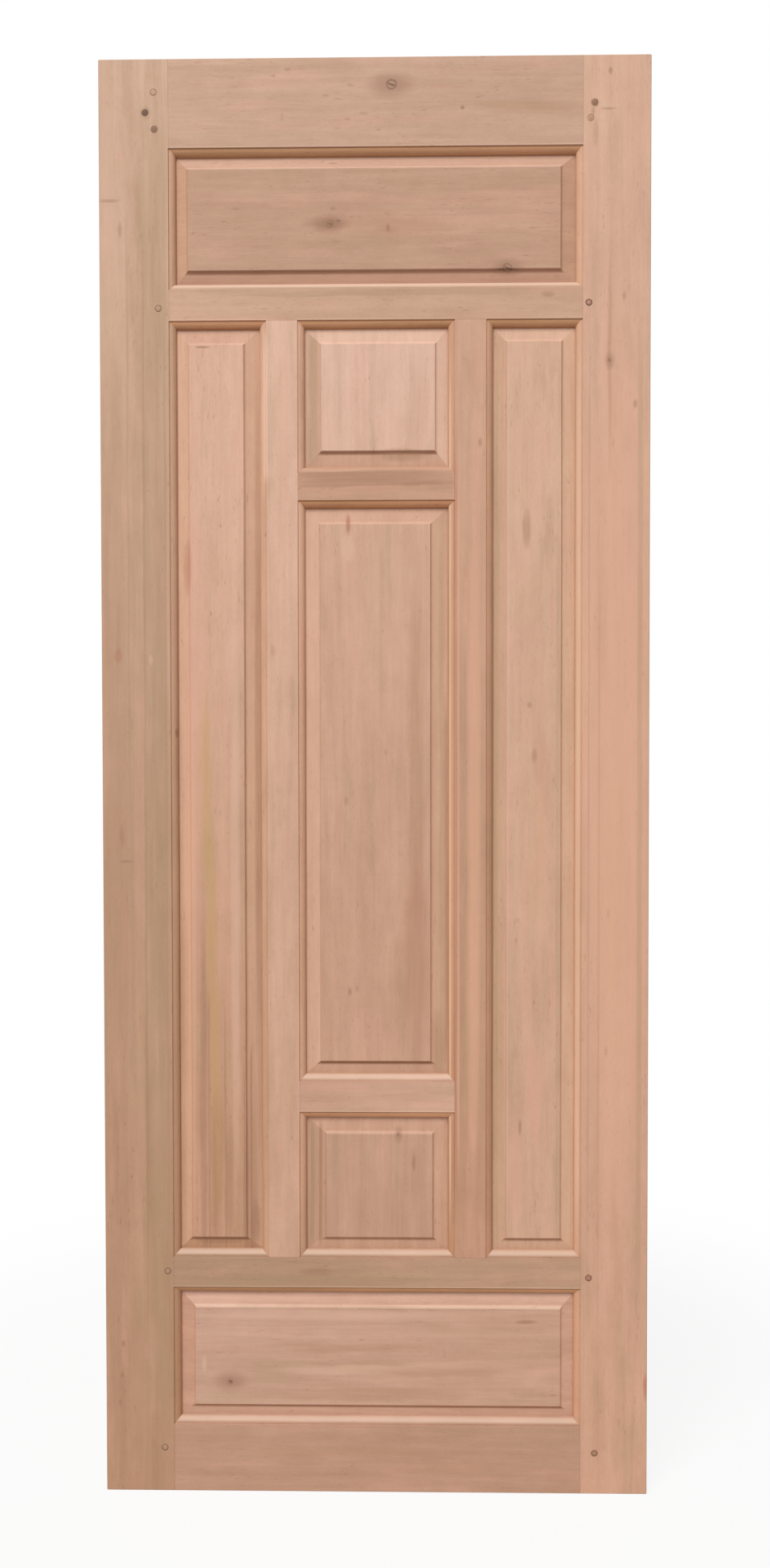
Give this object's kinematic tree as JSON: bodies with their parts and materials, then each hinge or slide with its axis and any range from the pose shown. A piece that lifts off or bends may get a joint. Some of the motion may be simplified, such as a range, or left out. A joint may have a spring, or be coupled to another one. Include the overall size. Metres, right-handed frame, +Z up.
{
  "type": "panelled exterior door leaf",
  "caption": "Raw timber exterior door leaf: pegged stiles and rails, muntins and cross rails round raised panels, both faces moulded alike; hangs on hinges in a frame.",
  "frame": {"origin": "middle of the leaf's bottom edge, half way through its thickness", "axes": "+Z up along the stiles, +X to the right seen from the front, -Y out of the front face that the picture shows"},
  "size_m": [0.8, 0.035, 2.1],
  "materials": {
    "frame_timber": "raw planed and sanded softwood, matt, no varnish or paint",
    "panel_timber": "raw planed and sanded softwood, matt, no varnish or paint",
    "peg_timber": "raw hardwood pegs, end grain cut off flush"
  },
  "bodies": {
    "root": {"left_stile": "frame_timber", "right_stile": "frame_timber", "top_rail": "frame_timber", "frieze_rail": "frame_timber", "lock_rail": "frame_timber", "bottom_rail": "frame_timber", "left_muntin": "frame_timber", "right_muntin": "frame_timber", "upper_cross_rail": "frame_timber", "lower_cross_rail": "frame_timber", "top_panel": "panel_timber", "left_side_panel": "panel_timber", "right_side_panel": "panel_timber", "upper_square_panel": "panel_timber", "centre_panel": "panel_timber", "lower_square_panel": "panel_timber", "bottom_panel": "panel_timber", "top_rail_pegs": "peg_timber", "frieze_rail_pegs": "peg_timber", "lock_rail_pegs": "peg_timber", "bottom_rail_pegs": "peg_timber"}
  },
  "joints": []
}
